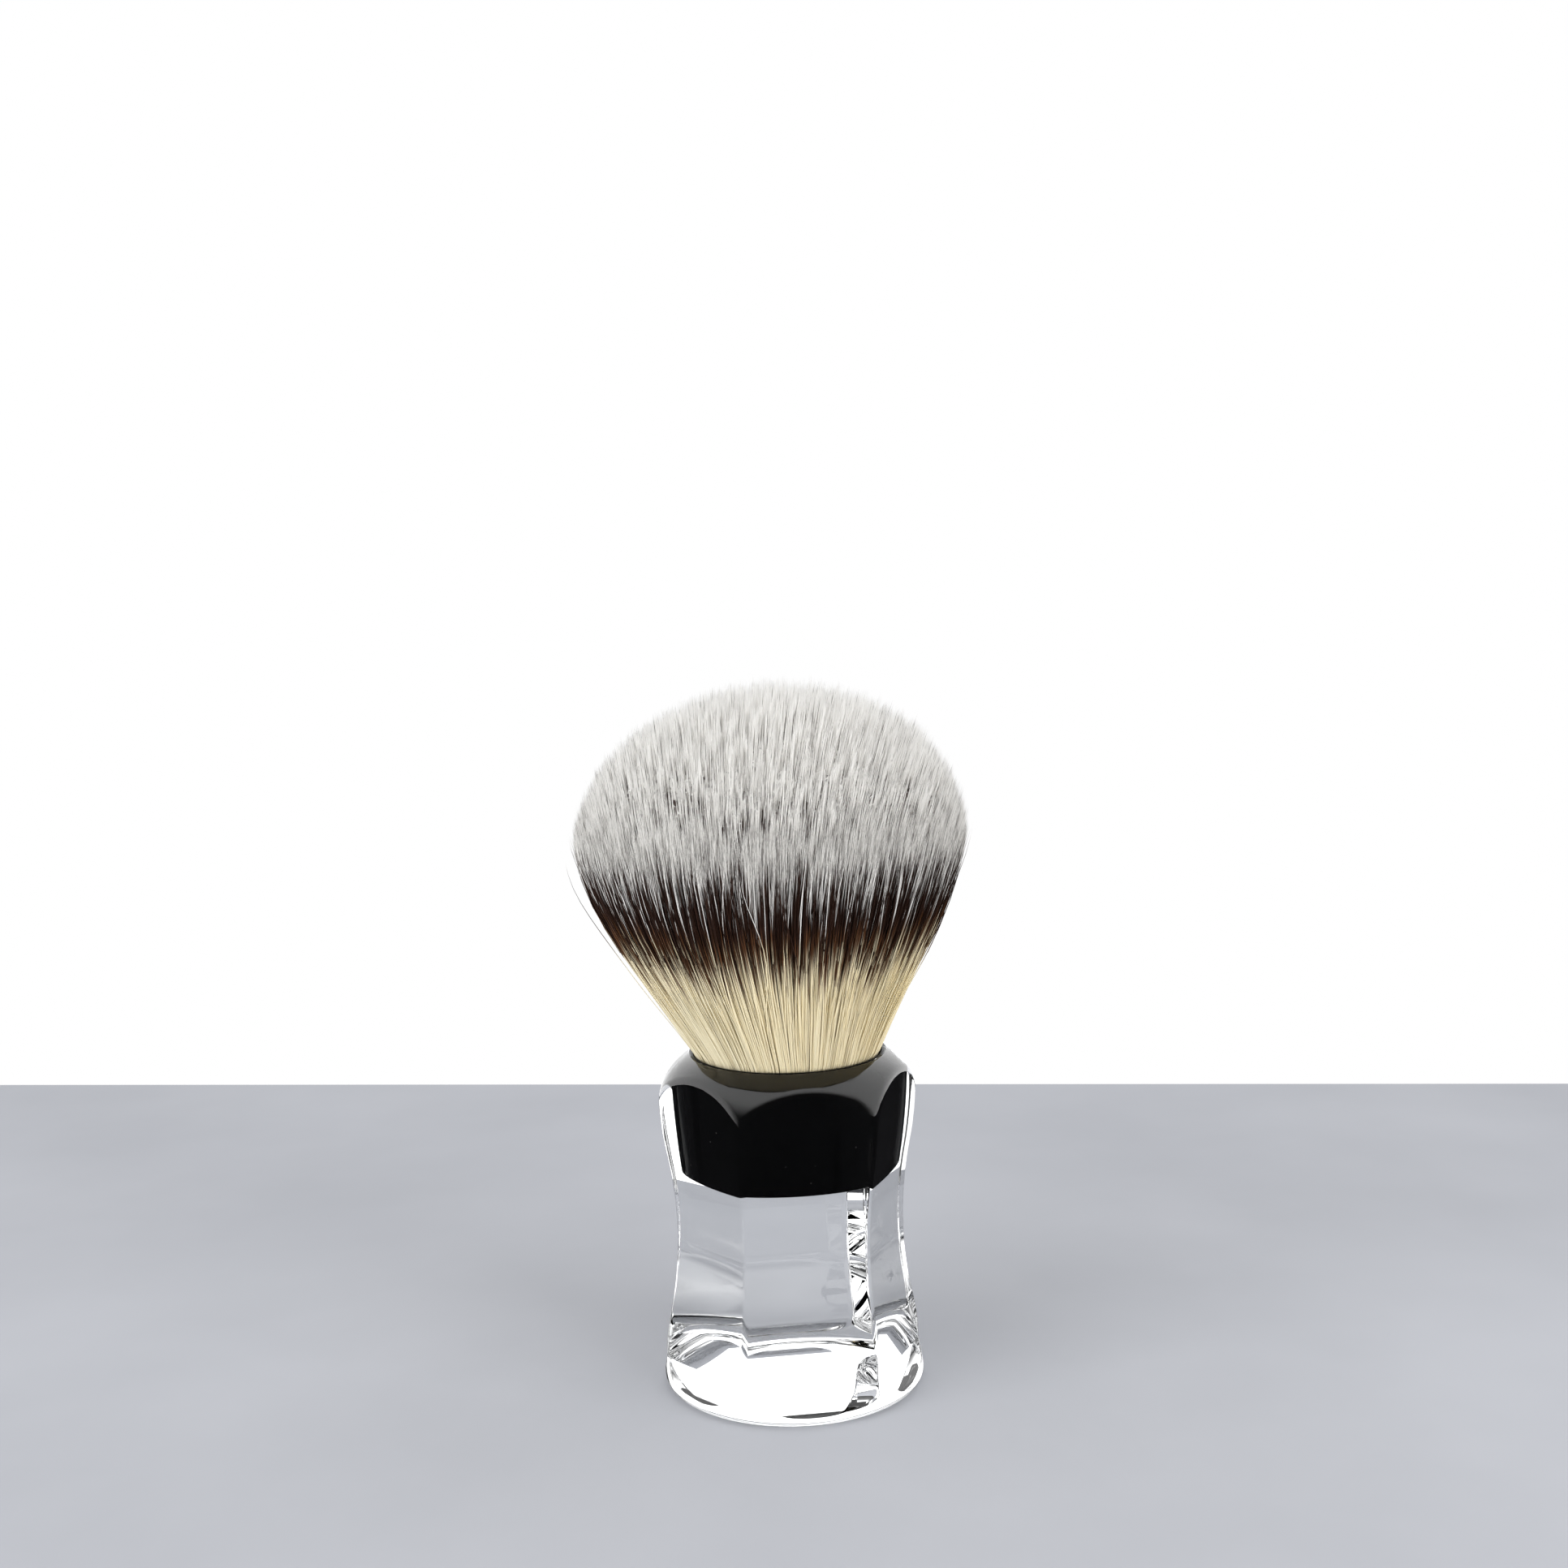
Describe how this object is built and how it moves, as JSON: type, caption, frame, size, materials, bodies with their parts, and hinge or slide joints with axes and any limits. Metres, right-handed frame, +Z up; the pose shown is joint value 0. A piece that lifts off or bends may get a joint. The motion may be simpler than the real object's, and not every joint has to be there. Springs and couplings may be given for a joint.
{
  "type": "shaving brush",
  "caption": "Shaving brush with a waisted six-sided clear handle over a black socket core and a fanned, banded bristle knot.",
  "frame": {"origin": "centre of the flat underside of the handle", "axes": "+Z up through the bristles, -Y out of the front flat of the handle, +X to the right seen from the front"},
  "size_m": [0.0566, 0.0566, 0.1044],
  "materials": {
    "clear_shell": "clear cast acrylic, polished",
    "black_core": "black, polished",
    "resin": "set amber resin",
    "bonded_butt": "filament ends bonded in resin, ground flat",
    "thread": "waxed cotton thread",
    "bristles": "fine filaments, cream at the base, a dark brown band, white tips"
  },
  "bodies": {
    "root": {"outer_shell": "clear_shell", "socket_core": "black_core", "setting_resin": "resin", "knot_plug": "bonded_butt", "binding_thread": "thread", "bristle_tuft": "bristles"}
  },
  "joints": []
}
